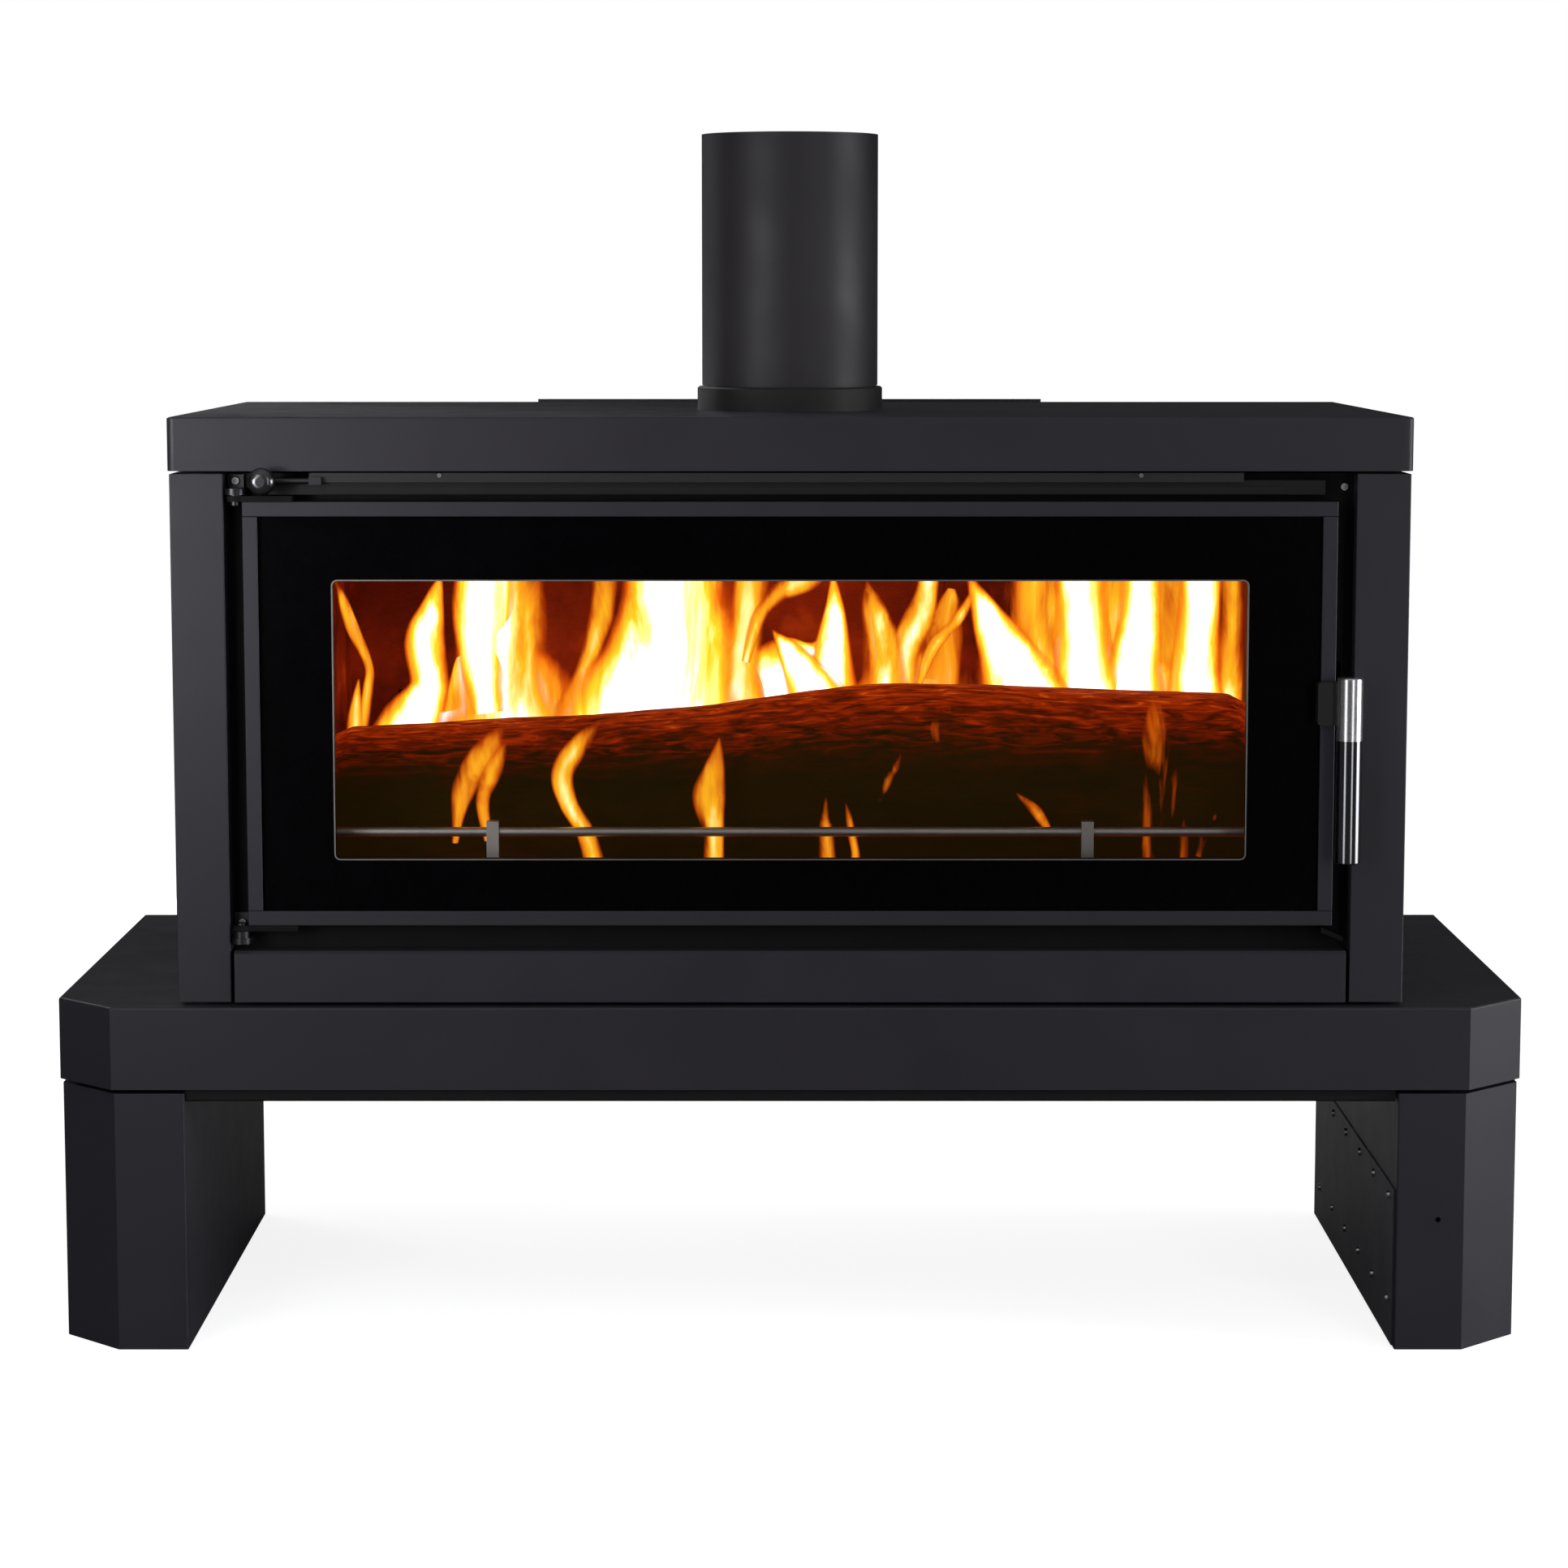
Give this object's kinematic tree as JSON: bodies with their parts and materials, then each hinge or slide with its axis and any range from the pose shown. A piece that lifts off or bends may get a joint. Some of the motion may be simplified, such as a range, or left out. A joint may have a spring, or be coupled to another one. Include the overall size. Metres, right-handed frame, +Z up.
{
  "type": "wood burning stove",
  "caption": "Wide steel wood burning stove on a low bench with solid legs, with a glazed hinged door, turning latch handle, sliding air control and a round flue outlet on top.",
  "frame": {"origin": "on the floor, at the centre of the overall footprint", "axes": "+X to the viewer's right along the stove's width, +Y from the front to the back, +Z up; the door faces -Y"},
  "size_m": [1.206, 0.522, 0.995],
  "materials": {
    "casing_paint": "satin charcoal heat-resistant paint on folded sheet steel",
    "firebox_steel": "matt black stove paint on steel plate",
    "cast_flue": "matt black painted casting",
    "firebrick": "pressed vermiculite board, sooted",
    "bright_steel": "plain turned steel",
    "heated_steel": "round steel bar greyed by heat",
    "polished_metal": "bright polished",
    "black_chrome": "smoked black chrome",
    "knob_black": "glossy black turned knob",
    "ceramic_glass": "clear ceramic glass with a black printed border",
    "rope_seal": "black braided glass-fibre rope and tape",
    "firewood": "bark-covered logs, charred and glowing"
  },
  "bodies": {
    "root": {"bench_top": "casing_paint", "bench_underside": "casing_paint", "left_leg": "casing_paint", "right_leg": "casing_paint", "right_leg_cover": "casing_paint", "left_side_panel": "casing_paint", "right_side_panel": "casing_paint", "rear_panel": "casing_paint", "rear_heat_shield": "casing_paint", "top_cap": "casing_paint", "ash_shelf": "casing_paint", "air_channel": "casing_paint", "flue_pipe": "casing_paint", "bench_stiffeners": "firebox_steel", "leg_risers": "firebox_steel", "plinth": "firebox_steel", "cap_supports": "firebox_steel", "firebox_floor": "firebox_steel", "firebox_side_walls": "firebox_steel", "firebox_back_wall": "firebox_steel", "firebox_roof": "firebox_steel", "firebox_front_frame": "firebox_steel", "airwash_deflector": "firebox_steel", "airwash_duct": "firebox_steel", "secondary_air_duct": "firebox_steel", "latch_keeper": "firebox_steel", "door_rest": "firebox_steel", "flue_spigot": "cast_flue", "flue_collar": "cast_flue", "floor_bricks": "firebrick", "side_bricks": "firebrick", "rear_bricks": "firebrick", "baffle_plate": "firebrick", "hinge_brackets": "bright_steel", "hinge_pins": "bright_steel", "shield_spacers": "bright_steel", "spigot_bolts": "bright_steel", "socket_screws": "bright_steel", "log_retainer_bar": "heated_steel", "log_retainer_posts": "heated_steel", "fire_logs": "firewood"},
    "door": {"door_inner_frame": "firebox_steel", "door_glass": "ceramic_glass", "glass_gasket": "rope_seal", "door_trim_top": "casing_paint", "door_trim_bottom": "casing_paint", "door_trim_left": "casing_paint", "door_trim_right": "casing_paint", "door_rope_gasket": "rope_seal", "door_hinge_arms": "firebox_steel"},
    "handle": {"handle_lug": "firebox_steel", "handle_hub": "polished_metal", "handle_grip": "black_chrome", "latch_spindle": "bright_steel", "latch_cam": "firebox_steel"},
    "air_control": {"air_slide": "casing_paint", "air_slide_screws": "bright_steel", "air_control_rod": "bright_steel", "air_control_knob": "knob_black"}
  },
  "joints": [
    {"name": "door_hinge", "type": "hinge", "parent": "root", "child": "door", "pos_m": [-0.446, -0.227, 0.523], "axis": [0, 0, -1], "range_deg": [0, 110]},
    {"name": "handle_turn", "type": "hinge", "parent": "door", "child": "handle", "pos_m": [0.4345, -0.231, 0.533], "axis": [0, -1, 0], "range_deg": [0, 90]},
    {"name": "air_control_slide", "type": "slide", "parent": "root", "child": "air_control", "axis": [1, 0, 0], "range_m": [-0.018, 0.035]}
  ]
}
